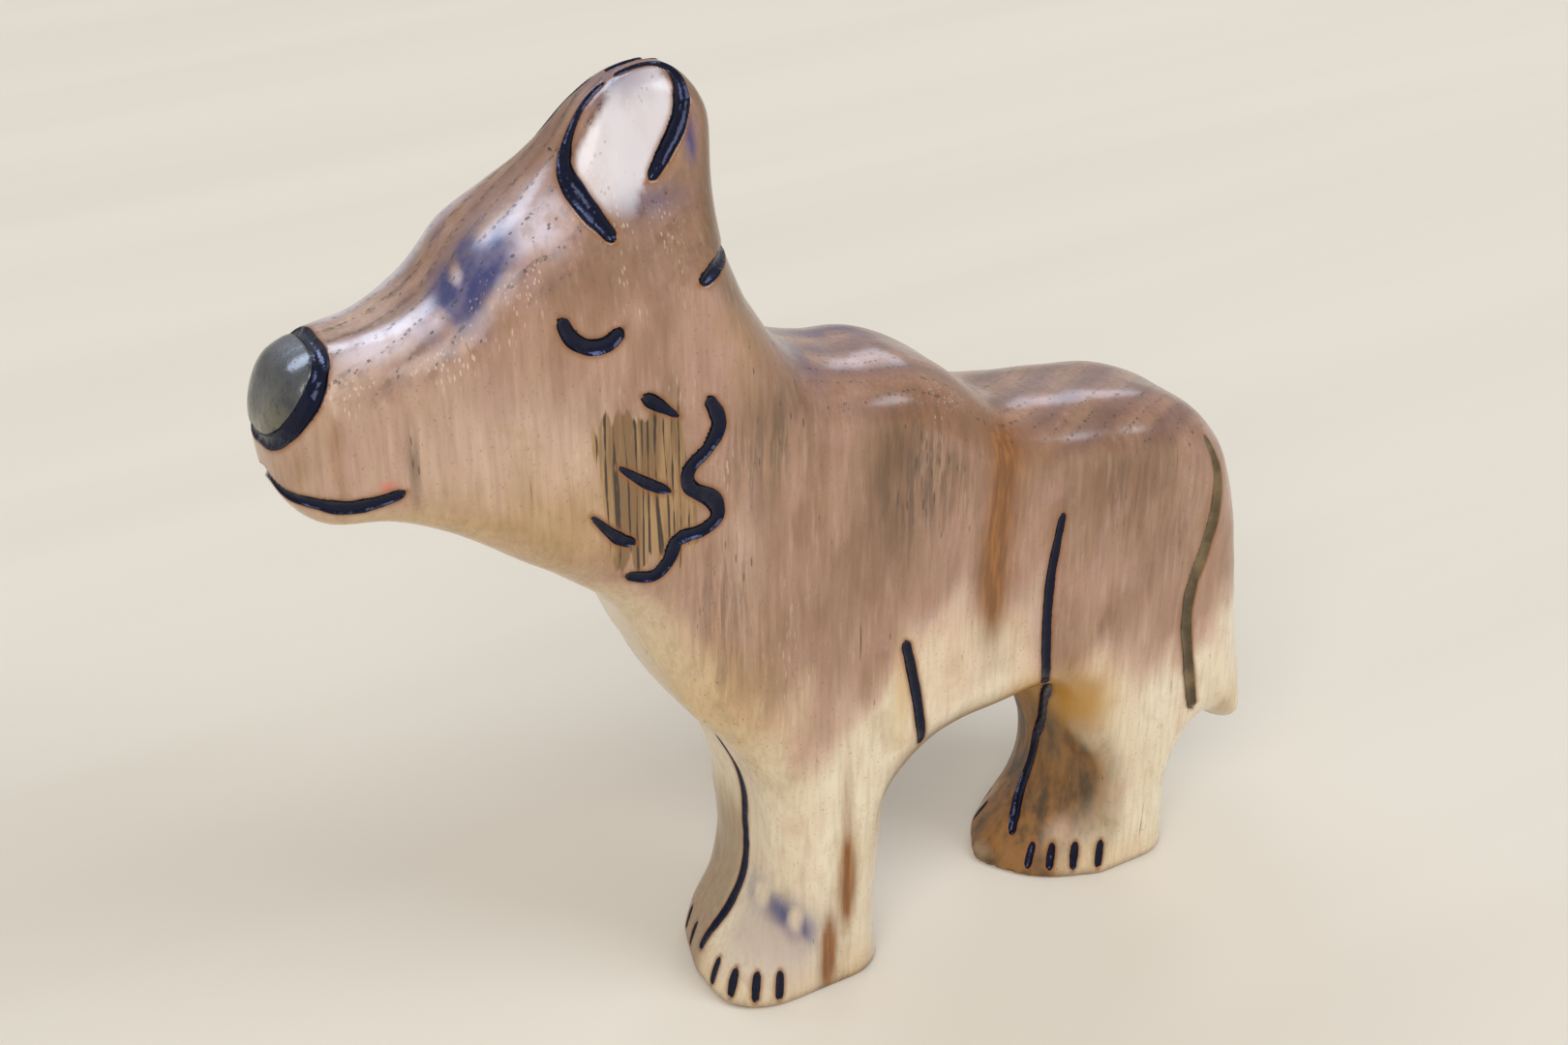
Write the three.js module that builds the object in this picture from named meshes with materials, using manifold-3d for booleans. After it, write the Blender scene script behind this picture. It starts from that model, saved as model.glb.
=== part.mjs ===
// A small carved wooden wolf, sawn from one thick board and rounded by hand, with its line work
// burnt into the wood and lacquered black. Millimetres, +Z up, head towards -X, standing on Z = 0.
// The animal's left side faces -Y. The two sides mirror each other in the plane Y = 0.
import * as THREE from "three";
import { mergeVertices } from "three/addons/utils/BufferGeometryUtils.js";
import Module from "manifold-3d";

const wasm = await Module();
wasm.setup();

// ---- driving dimensions ------------------------------------------------------------------
const BOARD_HALF = 14; // half the thickness of the board
const MUZZLE_HALF = 8.4; // half thickness at the nose
const EAR_TAPER = 8.6; // how much thinner each side gets from the crown to the ear tip
const EAR_HOLLOW = 1.7; // depth of the dished inner ear
const WAIST_DIP = 0.9; // hollow of the flank between ribs and thigh
const THROAT_DIP = 1.0; // hollow of the throat under the jaw
const ROUND_IN = 8.5; // edge rounding, measured in the side view
const PAW_ROUND = 3; // extra rounding of the paws, measured in the side view
const PAW_STAGGER = 2.6; // the right fore paw's front stands this far behind the left one's
const HIND_PAW_POINT = 0.7; // slope at which the hind paws' fronts run back from the middle
const SOLE_ROUND = 1; // small rounding where the paws meet their flat soles
const POWER = 2.2; // exponent of the rounded edge: 2 is a quarter ellipse
const CELL = 4; // grid pitch of the surface mesh
const OUTLINE_X = 5.6; // the side profile below is drawn this far ahead of the part's origin
const FLOOR_CUT = 14; // the legs are modelled this far past the floor, then sawn flat

const LINE_R = 0.9; // radius of a burnt line's filling
const TOE_R = 0.7; // radius of a toe line's filling
const LINE_DEPTH = 0.6; // a filling's centre lies this far under the surface
const GAP = 0.3; // clearance between a filling and its groove
const LINE_STEP = 3.4; // spacing of the sections along a filling
const LINE_SIDES = 5;

// ---- the side profile, x and z in the plane Y = 0 -----------------------------------------
const PROFILE = [
  // nose, forehead and ears
  [-72.9, 109],
  [-72.6, 114.6],
  [-70.2, 119.2],
  [-65.4, 121.2],
  [-58.4, 122],
  [-51.3, 125.1],
  [-45.8, 130.2],
  [-39, 134.6],
  [-33.4, 139],
  [-28.6, 144.2],
  [-23.2, 147.2],
  [-16.8, 146.9],
  [-13, 142],
  [-13, 133],
  [-12, 124],
  // nape, withers, saddle and rump
  [-8.1, 114.9],
  [-1.6, 106.6],
  [7, 103],
  [16, 101.3],
  [24, 96.9],
  [32, 90.4],
  [40, 88.2],
  [50, 86.6],
  [60.6, 84.6],
  [68.6, 80.8],
  [74.4, 74.2],
  // tail, hanging against the hind legs
  [77.6, 65.4],
  [79.8, 54],
  [81.6, 40],
  [83.6, 28],
  [84, 21.4],
  [81.6, 18.8],
  [74.4, 22.4],
  // hind legs
  [69.8, 17],
  [69.2, 8],
  [69.8, 0],
  [69.8, -7],
  [68, -FLOOR_CUT],
  [44, -FLOOR_CUT],
  [37.8, -7],
  [37.8, 0],
  [41.6, 5.6],
  [47.4, 12.4],
  [49.6, 19.6],
  [48.4, 28.8],
  [45.2, 36],
  // belly
  [41, 39],
  [31, 38.6],
  [21, 37.3],
  [13.4, 31.4],
  // fore legs
  [11.8, 22],
  [11.2, 10],
  [12.2, 0],
  [12.2, -7],
  [9, -FLOOR_CUT],
  [-14, -FLOOR_CUT],
  [-16, -7],
  [-16, 0],
  [-14.2, 6],
  [-10.2, 12.4],
  [-7.8, 19],
  [-7.2, 27],
  [-7.9, 35],
  // chest, throat and jaw
  [-11.4, 44.2],
  [-19.2, 54.7],
  [-24.4, 64.8],
  [-29.4, 75],
  [-35.6, 81.2],
  [-44, 87.4],
  [-52, 93],
  [-60, 96.6],
  [-67.4, 98],
  [-71.6, 102.4],
];

const smooth = THREE.MathUtils.smoothstep;
const lerp = THREE.MathUtils.lerp;

function hill(x, z, cx, cz, rx, rz) {
  return Math.exp(-(((x - cx) / rx) ** 2) - ((z - cz) / rz) ** 2);
}

const profileCurve = new THREE.CatmullRomCurve3(
  PROFILE.map(([x, z]) => new THREE.Vector3(x, 0, z)),
  true,
  "centripetal",
);
const RIM_STEPS = PROFILE.length * 5;
const rim = Array.from({ length: RIM_STEPS }, (_, i) => profileCurve.getPoint(i / RIM_STEPS));

// Distance from (x, z) to the side profile: positive inside it, negative outside.
function insideBy(x, z) {
  let best = Infinity;
  let inside = false;
  for (let i = 0; i < RIM_STEPS; i++) {
    const a = rim[i];
    const b = rim[(i + 1) % RIM_STEPS];
    const ex = b.x - a.x;
    const ez = b.z - a.z;
    const px = x - a.x;
    const pz = z - a.z;
    const t = Math.min(1, Math.max(0, (px * ex + pz * ez) / (ex * ex + ez * ez)));
    const dx = px - t * ex;
    const dz = pz - t * ez;
    best = Math.min(best, dx * dx + dz * dz);
    if (a.z > z !== b.z > z && px < (ex * (z - a.z)) / ez) inside = !inside;
  }
  return (inside ? 1 : -1) * Math.sqrt(best);
}

// Half the body's thickness at (x, z).
function halfThickness(x, z) {
  let t = lerp(MUZZLE_HALF, BOARD_HALF, smooth(x, -76, -38));
  t -= EAR_TAPER * smooth(z, 118, 152) * smooth(x, -46, -34);
  t -= EAR_HOLLOW * hill(x, z, -22.5, 139, 6, 9);
  t -= WAIST_DIP * hill(x, z, 31, 62, 9, 22);
  t -= THROAT_DIP * hill(x, z, -24, 76, 7, 6);
  return t;
}

// The carved surface is where this is zero; it is negative inside the wood. The board's face is
// flat, and its edge is rounded by ROUND_IN in the side view and by a share of the thickness.
function carved(x, y, z) {
  const sole = SOLE_ROUND * (1 - Math.sqrt(1 - (1 - Math.min(1, Math.max(0, z) / SOLE_ROUND)) ** 2));
  const t = halfThickness(x, z) - sole;
  const legs = 1 - smooth(z, 20, 45);
  const toes = 1 - smooth(x < 25 ? x : x - 56, -6, 6);
  const paws = toes * (1 - smooth(z, 6, 18));
  const roundIn = ROUND_IN - 2.4 * smooth(z, 126, 146) - 1.2 * legs + PAW_ROUND * paws;
  const roundOut = t * lerp(0.6, 0.82, smooth(z, 45, 90));
  const setBack = x < 25 ? PAW_STAGGER * smooth(y, -2, 9) : HIND_PAW_POINT * (Math.hypot(y, 2) - 2);
  const shift = setBack * toes * (1 - smooth(z, 8, 30));
  const a = Math.max(0, roundIn - (insideBy(x - shift, z) - sole)) / roundIn;
  const b = Math.max(0, Math.abs(y) - (t - roundOut)) / roundOut;
  return a ** POWER + b ** POWER - 1;
}

function slope(p, out) {
  const h = 0.05;
  out.set(
    carved(p.x + h, p.y, p.z) - carved(p.x - h, p.y, p.z),
    carved(p.x, p.y + h, p.z) - carved(p.x, p.y - h, p.z),
    carved(p.x, p.y, p.z + h) - carved(p.x, p.y, p.z - h),
  );
  return out.divideScalar(2 * h);
}

const scratch = new THREE.Vector3();

// Moves p onto the carved surface, in steps of at most 1.5 mm.
function settle(p, rounds) {
  for (let i = 0; i < rounds; i++) {
    const value = carved(p.x, p.y, p.z);
    const length = Math.max(0.02, slope(p, scratch).length());
    const step = THREE.MathUtils.clamp(value / length, -1.5, 1.5);
    p.addScaledVector(scratch, -step / length);
  }
  return p;
}

// ---- the carved surface as a closed mesh, by surface nets --------------------------------
function carvedGeometry() {
  const low = new THREE.Vector3(-79, -20.15, -FLOOR_CUT - 5);
  const count = [(170 / CELL) | 0, (40 / CELL) | 0, (176 / CELL) | 0].map((n) => n + 2);
  const [nx, ny, nz] = count;
  const values = new Float64Array(nx * ny * nz);
  const at = (i, j, k) => (k * ny + j) * nx + i;
  for (let k = 0; k < nz; k++) {
    for (let j = 0; j < ny; j++) {
      for (let i = 0; i < nx; i++) {
        values[at(i, j, k)] = carved(low.x + i * CELL, low.y + j * CELL, low.z + k * CELL);
      }
    }
  }
  const corners = [0, 1, 2, 3, 4, 5, 6, 7].map((c) => [c & 1, (c >> 1) & 1, c >> 2]);
  const edges = [];
  for (let a = 0; a < 8; a++) {
    for (const bit of [1, 2, 4]) {
      if (!(a & bit)) edges.push([a, a | bit]);
    }
  }
  const vertexOf = new Map();
  const points = [];
  for (let k = 0; k < nz - 1; k++) {
    for (let j = 0; j < ny - 1; j++) {
      for (let i = 0; i < nx - 1; i++) {
        const v = corners.map(([di, dj, dk]) => values[at(i + di, j + dj, k + dk)]);
        const crossed = edges.filter(([a, b]) => v[a] < 0 !== v[b] < 0);
        if (!crossed.length) continue;
        const p = new THREE.Vector3();
        for (const [a, b] of crossed) {
          const t = v[a] / (v[a] - v[b]);
          p.x += lerp(corners[a][0], corners[b][0], t);
          p.y += lerp(corners[a][1], corners[b][1], t);
          p.z += lerp(corners[a][2], corners[b][2], t);
        }
        p.divideScalar(crossed.length).add(new THREE.Vector3(i, j, k));
        vertexOf.set(at(i, j, k), points.length);
        points.push(p.multiplyScalar(CELL).add(low));
      }
    }
  }
  const quads = [];
  const axes = [
    [1, 0, 0],
    [0, 1, 0],
    [0, 0, 1],
  ];
  for (let k = 1; k < nz - 1; k++) {
    for (let j = 1; j < ny - 1; j++) {
      for (let i = 1; i < nx - 1; i++) {
        const here = values[at(i, j, k)] < 0;
        axes.forEach(([ax, ay, az], n) => {
          if (here === values[at(i + ax, j + ay, k + az)] < 0) return;
          const [bx, by, bz] = axes[(n + 1) % 3];
          const [cx, cy, cz] = axes[(n + 2) % 3];
          const quad = [
            vertexOf.get(at(i - bx - cx, j - by - cy, k - bz - cz)),
            vertexOf.get(at(i - cx, j - cy, k - cz)),
            vertexOf.get(at(i, j, k)),
            vertexOf.get(at(i - bx, j - by, k - bz)),
          ];
          quads.push(here ? quad : quad.reverse());
        });
      }
    }
  }
  relax(points, quads);
  const index = [];
  for (const [a, b, c, d] of quads) {
    const short = points[a].distanceTo(points[c]) < points[b].distanceTo(points[d]);
    index.push(...(short ? [a, b, c, a, c, d] : [a, b, d, b, c, d]));
  }
  return new THREE.BufferGeometry().setFromPoints(points).setIndex(index);
}

// Evens out the mesh: each point moves towards its neighbours' mean, then back onto the surface.
function relax(points, quads) {
  const near = points.map(() => new Set());
  for (const quad of quads) {
    quad.forEach((a, n) => {
      near[a].add(quad[(n + 1) % 4]);
      near[a].add(quad[(n + 3) % 4]);
    });
  }
  for (let round = 0; round < 4; round++) {
    const means = near.map((set) => {
      const mean = new THREE.Vector3();
      for (const n of set) mean.add(points[n]);
      return mean.divideScalar(set.size);
    });
    points.forEach((p, i) => settle(p.lerp(means[i], 0.5), 2));
  }
}

// ---- solids -------------------------------------------------------------------------------
function solidOf(geometry) {
  geometry.deleteAttribute("normal");
  geometry.deleteAttribute("uv");
  const merged = mergeVertices(geometry, 1e-4);
  return new wasm.Manifold(
    new wasm.Mesh({
      numProp: 3,
      vertProperties: new Float32Array(merged.getAttribute("position").array),
      triVerts: new Uint32Array(merged.index.array),
    }),
  );
}

function geometryOf(solid) {
  const mesh = solid.getMesh();
  const geometry = new THREE.BufferGeometry();
  geometry.setAttribute("position", new THREE.BufferAttribute(mesh.vertProperties, 3));
  geometry.setIndex(new THREE.BufferAttribute(mesh.triVerts, 1));
  geometry.translate(-OUTLINE_X, 0, 0);
  geometry.computeVertexNormals();
  return geometry;
}

// A many-sided rod of the given radius, lying just under the carved surface along the hints.
function rod(hints, radius, overrun) {
  const hint = new THREE.CatmullRomCurve3(hints.map((h) => new THREE.Vector3(...h)));
  const steps = Math.max(2, Math.round(hint.getLength() / LINE_STEP));
  const points = [];
  const normal = new THREE.Vector3();
  for (const p of hint.getSpacedPoints(steps)) {
    settle(p, 12);
    slope(p, normal).normalize();
    points.push(p.addScaledVector(normal, -LINE_DEPTH));
  }
  const first = points[0].clone().sub(points[1]).setLength(overrun);
  const last = points[steps].clone().sub(points[steps - 1]).setLength(overrun);
  points[0].add(first);
  points[steps].add(last);
  const section = new THREE.Shape(
    Array.from({ length: LINE_SIDES }, (_, i) => {
      const turn = (i * 2 * Math.PI) / LINE_SIDES;
      return new THREE.Vector2(radius * Math.cos(turn), radius * Math.sin(turn));
    }),
  );
  const path = new THREE.CatmullRomCurve3(points);
  return solidOf(new THREE.ExtrudeGeometry(section, { steps, extrudePath: path, bevelEnabled: false }));
}

// ---- the burnt lines, as rough positions that settle onto the surface ----------------------
const SIDE = -13.5; // y of a line on the animal's left side
const onSide = (pairs) => pairs.map(([x, z]) => [x, SIDE, z]);

const PAIRED_LINES = {
  eye: onSide([
    [-38.7, 122.9],
    [-37.4, 119.9],
    [-34.8, 118.2],
    [-32.4, 118.3],
    [-30.6, 119.7],
  ]),
  cheek_tick_top: onSide([
    [-28.2, 110],
    [-23.3, 105.9],
  ]),
  cheek_tick_middle: onSide([
    [-32, 101],
    [-28, 97.6],
    [-24.7, 95.4],
  ]),
  cheek_tick_bottom: onSide([
    [-36.2, 95.2],
    [-32.4, 90.8],
    [-30, 89.4],
  ]),
  cheek_fur: onSide([
    [-19.1, 107.6],
    [-17.6, 103.6],
    [-19.2, 100.4],
    [-22, 98],
    [-22.1, 95.6],
    [-18.5, 92.4],
    [-17.9, 89.8],
    [-20, 88.4],
    [-24, 88],
    [-25.2, 85.4],
    [-27.3, 83.6],
    [-31.5, 84.6],
  ]),
  ear_front: [
    [-27, -1.7, 145.2],
    [-29.5, -2.2, 142.2],
    [-31.2, -3, 139.6],
    [-32.6, -5, 136.4],
    [-31.9, -7.9, 132.9],
    [-29.9, -9.8, 129.6],
  ],
  ear_rear: [
    [-23.4, -1.7, 147.2],
    [-19.8, -1.7, 147.2],
    [-17.9, -2.4, 146.4],
    [-17.4, -4.2, 143.6],
    [-18.4, -5.1, 140.6],
    [-20.4, -5.6, 137.6],
    [-23.4, -6.6, 134.9],
  ],
  elbow: onSide([
    [12.6, 60],
    [14.8, 50.4],
    [16.4, 40.2],
  ]),
  thigh: onSide([
    [40.2, 73],
    [38.8, 61.8],
    [39, 46],
    [39.5, 41.4],
  ]),
  tail: [
    [67.6, -11.6, 77.4],
    [69.6, -12.4, 72],
    [69.9, -12.9, 65],
    [68.8, -13, 58.7],
    [67, -13.4, 52.5],
    [66.6, -13.4, 46.3],
    [68, -13, 37],
    [69.8, -13, 28],
  ],
};

const MIDDLE_LINES = {
  mouth: [
    [-58.6, -9, 103.9],
    [-62.5, -8.4, 102.9],
    [-66.5, -7.7, 102.7],
    [-69.3, -6.6, 103.3],
    [-71.4, -4.3, 103.8],
    [-72.6, 0, 105.2],
    [-71.4, 4.3, 103.8],
    [-69.3, 6.6, 103.3],
    [-66.5, 7.7, 102.7],
    [-62.5, 8.4, 102.9],
    [-58.6, 9, 103.9],
  ],
  nape: [
    [-19.4, -13.2, 123],
    [-16.6, -12.2, 124.2],
    [-13.6, -8, 124.8],
    [-11.8, 0, 125],
    [-13.6, 8, 124.8],
    [-16.6, 12.2, 124.2],
    [-19.4, 13.2, 123],
  ],
  fore_leg: [
    [-13.4, -0.5, 44.6],
    [-8.8, -1.4, 36],
    [-7.2, -0.9, 26.5],
    [-8, -1.6, 18.4],
    [-11.4, -1, 10.5],
    [-14.7, 0.2, 4],
  ],
  hind_leg: [
    [44.6, -7.4, 37],
    [47.4, -3.2, 31.7],
    [49.2, -0.6, 25],
    [50, 1.2, 20],
    [48.3, 1, 13.3],
    [45.6, -1, 7.6],
    [43.8, -2.5, 4.6],
  ],
};

// Toe lines run up from just above the sole, at these places around a paw's front.
const TOE_BOTTOM = 1.6;
const TOE_TOP = 6.6;
const TOES = {
  fore: [
    [-15.4, 5.2],
    [-14, 9],
    [-11.6, 11.6],
    [-8.4, 13.1],
  ],
  hind: [
    [43, 7.6],
    [45.8, 9.8],
    [49.2, 11.8],
    [53.2, 13.2],
  ],
};

// The right ear's front line stands this much further out from the crest than the left one.
const RIGHT_EAR_OUT = 1.4;

const mirrored = (line, out = 0) => line.map(([x, y, z]) => [x, out - y, z]);

const lines = new Map();
for (const [name, line] of Object.entries(PAIRED_LINES)) {
  lines.set(name + "_left", { hints: line, radius: LINE_R });
  const out = name === "ear_front" ? RIGHT_EAR_OUT : 0;
  lines.set(name + "_right", { hints: mirrored(line, out), radius: LINE_R });
}
for (const [name, line] of Object.entries(MIDDLE_LINES)) {
  lines.set(name + "_line", { hints: line, radius: LINE_R });
}
for (const [paw, spots] of Object.entries(TOES)) {
  spots.forEach(([x, y], n) => {
    const toe = [
      [x, -y, TOE_BOTTOM],
      [x + 0.4, -y, TOE_TOP],
    ];
    lines.set(`${paw}_toe_left_${n + 1}`, { hints: toe, radius: TOE_R });
    lines.set(`${paw}_toe_right_${n + 1}`, { hints: mirrored(toe), radius: TOE_R });
  });
}

// ---- the nose pad, and the ring burnt round it ---------------------------------------------
const NOSE_TOP = new THREE.Vector3(-65, 0, 121.4);
const NOSE_FOOT = new THREE.Vector3(-72.9, 0, 110.4);
const noseMiddle = NOSE_TOP.clone().lerp(NOSE_FOOT, 0.5);
const noseUp = NOSE_TOP.clone().sub(NOSE_FOOT).normalize();
const noseAhead = new THREE.Vector3(0, 1, 0).cross(noseUp).negate();

// Everything ahead of the slanted nose plane, starting the given distance in front of it.
function aheadOfNose(offset) {
  const size = 60;
  const box = new THREE.BoxGeometry(size, size, size);
  box.translate(size / 2 + offset, 0, 0);
  const basis = new THREE.Matrix4().makeBasis(noseAhead, noseAhead.clone().cross(noseUp).negate(), noseUp);
  box.applyMatrix4(basis.setPosition(noseMiddle));
  return solidOf(box);
}

// The ring starts and ends under the nose, leaving a small break there.
const RING_BREAK = 0.16;
const ringHints = Array.from({ length: 17 }, (_, i) => {
  const turn = lerp(RING_BREAK, 2 * Math.PI - RING_BREAK, i / 16);
  const p = noseMiddle.clone().addScaledVector(noseUp, -9 * Math.cos(turn));
  return [p.x, 7.6 * Math.sin(turn), p.z];
});
lines.set("nose_ring", { hints: ringHints, radius: LINE_R });

// ---- cutting and naming ---------------------------------------------------------------------
const paint = (color, roughness) => new THREE.MeshStandardMaterial({ color, roughness, metalness: 0 });
const floorBox = new THREE.BoxGeometry(400, 100, 60).translate(0, 0, -30);
const whole = solidOf(carvedGeometry()).subtract(solidOf(floorBox));

const grooves = [];
const fillings = new Map();
for (const [name, { hints, radius }] of lines) {
  grooves.push(rod(hints, radius + GAP, GAP));
  fillings.set(name, rod(hints, radius, 0));
}
const allGrooves = grooves.reduce((sum, groove) => sum.add(groove));
const body = whole.subtract(aheadOfNose(0)).subtract(allGrooves);
const nosePad = whole.intersect(aheadOfNose(GAP)).subtract(allGrooves);

const wolf = new THREE.Group();
wolf.name = "carved_wolf";

function place(name, solid, material) {
  const mesh = new THREE.Mesh(geometryOf(solid), material);
  mesh.name = name;
  wolf.add(mesh);
}

place("wood_body", body, paint(0xb58c69, 0.42));
place("nose_pad", nosePad, paint(0x3b3d33, 0.22));
for (const [name, solid] of fillings) {
  place(name, solid, paint(0x14161f, 0.28));
}

export default wolf;
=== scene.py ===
"""A small carved wooden wolf. The wood is one high-resolution body whose carved surface comes from the
same profile and rounding rules as the CAD solid, with real burnt grooves pressed into it. Every burnt
line is its own lacquered piece lying in its groove, and the charred nose is a piece of its own."""
import math

import bmesh
import bpy
import numpy as np
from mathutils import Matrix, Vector
from mathutils.kdtree import KDTree


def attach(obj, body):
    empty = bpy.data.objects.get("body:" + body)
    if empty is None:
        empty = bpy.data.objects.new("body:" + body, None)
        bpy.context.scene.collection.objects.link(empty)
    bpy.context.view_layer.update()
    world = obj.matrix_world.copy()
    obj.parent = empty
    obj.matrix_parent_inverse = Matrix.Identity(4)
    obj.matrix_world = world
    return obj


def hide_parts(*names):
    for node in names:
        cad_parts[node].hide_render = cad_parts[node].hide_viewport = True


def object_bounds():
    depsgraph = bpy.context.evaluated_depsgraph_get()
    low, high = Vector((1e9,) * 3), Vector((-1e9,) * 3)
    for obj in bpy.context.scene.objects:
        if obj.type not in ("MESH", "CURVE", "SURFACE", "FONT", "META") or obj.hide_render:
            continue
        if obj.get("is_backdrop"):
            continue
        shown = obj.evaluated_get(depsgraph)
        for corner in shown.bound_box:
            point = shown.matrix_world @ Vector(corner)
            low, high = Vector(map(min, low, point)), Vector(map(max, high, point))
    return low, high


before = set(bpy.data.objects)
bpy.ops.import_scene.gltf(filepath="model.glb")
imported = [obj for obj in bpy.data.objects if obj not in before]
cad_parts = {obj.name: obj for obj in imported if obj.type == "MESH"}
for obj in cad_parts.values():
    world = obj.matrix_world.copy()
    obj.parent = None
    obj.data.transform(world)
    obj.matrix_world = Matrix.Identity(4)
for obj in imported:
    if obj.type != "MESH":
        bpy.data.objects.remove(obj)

cad_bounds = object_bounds()

MM = 0.001
OUTLINE_X = 5.6  # the profile below is drawn this far ahead of the part's origin
BOARD_HALF = 14.0
MUZZLE_HALF = 8.4
EAR_TAPER = 8.6
EAR_HOLLOW = 1.7
WAIST_DIP = 0.9
THROAT_DIP = 1.0
ROUND_IN = 8.5
PAW_ROUND = 3.0
PAW_STAGGER = 2.6
HIND_PAW_POINT = 0.7
SOLE_ROUND = 1.0
POWER = 2.2
CORE_SHARE = 1e-4
PITCH = 0.86  # edge length of the body mesh, mm
RIM = 0.1  # how far a groove reaches past the half width of its line
FLOOR_CUT = 14.0
TRACE_STEP = 0.16  # distance between the rings of a burnt line, mm
WOBBLE_STEP = 1.3  # distance over which a line's width wavers, mm
NOSE_PITCH = 0.36  # edge length of the nose mesh, mm
LACQUER_SINK = 0.58  # how deep a full-width line's lacquer lies, mm
GROOVE_EXTRA = 0.26  # how much deeper the groove is pressed than its lacquer, mm

PROFILE = [
    # nose, forehead and ears
    (-72.9, 109), (-72.6, 114.6), (-70.2, 119.2), (-65.4, 121.2), (-58.4, 122), (-51.3, 125.1),
    (-45.8, 130.2), (-39, 134.6), (-33.4, 139), (-28.6, 144.2), (-23.2, 147.2), (-16.8, 146.9),
    (-13, 142), (-13, 133), (-12, 124),
    # nape, withers, saddle and rump
    (-8.1, 114.9), (-1.6, 106.6), (7, 103), (16, 101.3), (24, 96.9), (32, 90.4), (40, 88.2),
    (50, 86.6), (60.6, 84.6), (68.6, 80.8), (74.4, 74.2),
    # tail
    (77.6, 65.4), (79.8, 54), (81.6, 40), (83.6, 28), (84, 21.4), (81.6, 18.8), (74.4, 22.4),
    # hind legs
    (69.8, 17), (69.2, 8), (69.8, 0), (69.8, -7), (68, -FLOOR_CUT), (44, -FLOOR_CUT),
    (37.8, -7), (37.8, 0), (41.6, 5.6), (47.4, 12.4), (49.6, 19.6), (48.4, 28.8), (45.2, 36),
    # belly
    (41, 39), (31, 38.6), (21, 37.3), (13.4, 31.4),
    # fore legs
    (11.8, 22), (11.2, 10), (12.2, 0), (12.2, -7), (9, -FLOOR_CUT), (-14, -FLOOR_CUT), (-16, -7),
    (-16, 0), (-14.2, 6), (-10.2, 12.4), (-7.8, 19), (-7.2, 27), (-7.9, 35),
    # chest, throat and jaw
    (-11.4, 44.2), (-19.2, 54.7), (-24.4, 64.8), (-29.4, 75), (-35.6, 81.2), (-44, 87.4),
    (-52, 93), (-60, 96.6), (-67.4, 98), (-71.6, 102.4),
]


# ---- small helpers ------------------------------------------------------------------------
def smooth(x, a, b):
    t = np.clip((x - a) / (b - a), 0.0, 1.0)
    return t * t * (3.0 - 2.0 * t)


def mix(a, b, t):
    return a + (b - a) * t


def hill(x, z, cx, cz, rx, rz):
    return np.exp(-(((x - cx) / rx) ** 2) - ((z - cz) / rz) ** 2)


def catmull(points, per_span, closed=False):
    """Points of a centripetal Catmull-Rom curve through the given points."""
    p = np.asarray(points, float)
    n = len(p)
    if closed:
        ends = [p[-1:], p, p[:2]]
    else:
        ends = [2 * p[:1] - p[1:2], p, 2 * p[-1:] - p[-2:-1]]
    p = np.vstack(ends)
    out = []
    t = np.arange(per_span)[:, None] / per_span
    for i in range(n if closed else n - 1):
        a, b, c, d = p[i : i + 4]
        ab, bc, cd = (max(1e-4, np.linalg.norm(v)) ** 0.5 for v in (b - a, c - b, d - c))
        t1 = ((b - a) / ab - (c - a) / (ab + bc) + (c - b) / bc) * bc
        t2 = ((c - b) / bc - (d - b) / (bc + cd) + (d - c) / cd) * bc
        k2 = 3 * (c - b) - 2 * t1 - t2
        k3 = 2 * (b - c) + t1 + t2
        out.append(b + t1 * t + k2 * t**2 + k3 * t**3)
    if not closed:
        out.append(p[-2:-1])
    return np.vstack(out)


def ripple(p, seed, wavelength, octaves=5):
    """Smooth seeded noise in about -1..1, for hand-carved unevenness."""
    rng = np.random.default_rng(seed)
    total = np.zeros(len(p))
    for _ in range(octaves):
        way = rng.normal(size=3)
        way *= 2 * math.pi / (wavelength * rng.uniform(0.7, 1.4) * np.linalg.norm(way))
        total += np.sin(p @ way + rng.uniform(0, 6.28))
    return total / octaves**0.5


# ---- the carved surface --------------------------------------------------------------------
STEP = 0.3
GRID_X = np.arange(-86.0, 98.0, STEP)
GRID_Z = np.arange(-24.0, 160.0, STEP)


def inside_table():
    """Signed distance to the profile on a fine grid, positive inside, good to 16 mm."""
    rim = catmull(PROFILE, 8, closed=True)
    far = 16.0
    best = np.full((len(GRID_X), len(GRID_Z)), far * far)
    inside = np.zeros(best.shape, bool)
    for a, b in zip(rim, np.roll(rim, -1, 0)):
        i0, i1 = np.searchsorted(GRID_X, [min(a[0], b[0]) - far, max(a[0], b[0]) + far])
        k0, k1 = np.searchsorted(GRID_Z, [min(a[1], b[1]) - far, max(a[1], b[1]) + far])
        e = b - a
        px = GRID_X[i0:i1, None] - a[0]
        pz = GRID_Z[None, k0:k1] - a[1]
        t = np.clip((px * e[0] + pz * e[1]) / (e @ e), 0, 1)
        near = (px - t * e[0]) ** 2 + (pz - t * e[1]) ** 2
        best[i0:i1, k0:k1] = np.minimum(best[i0:i1, k0:k1], near)
        rows = np.nonzero((a[1] > GRID_Z) != (b[1] > GRID_Z))[0]
        if len(rows):
            cross = a[0] + e[0] * (GRID_Z[rows] - a[1]) / e[1]
            inside[:, rows] ^= GRID_X[:, None] < cross[None, :]
    signed = np.where(inside, 1, -1) * np.sqrt(best)
    kernel = np.exp(-0.5 * (np.arange(-6, 7) * STEP / 0.55) ** 2)
    kernel /= kernel.sum()
    for axis in (0, 1):
        signed = sum(k * np.roll(signed, s - 6, axis) for s, k in enumerate(kernel))
    return signed


INSIDE = inside_table()


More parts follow.
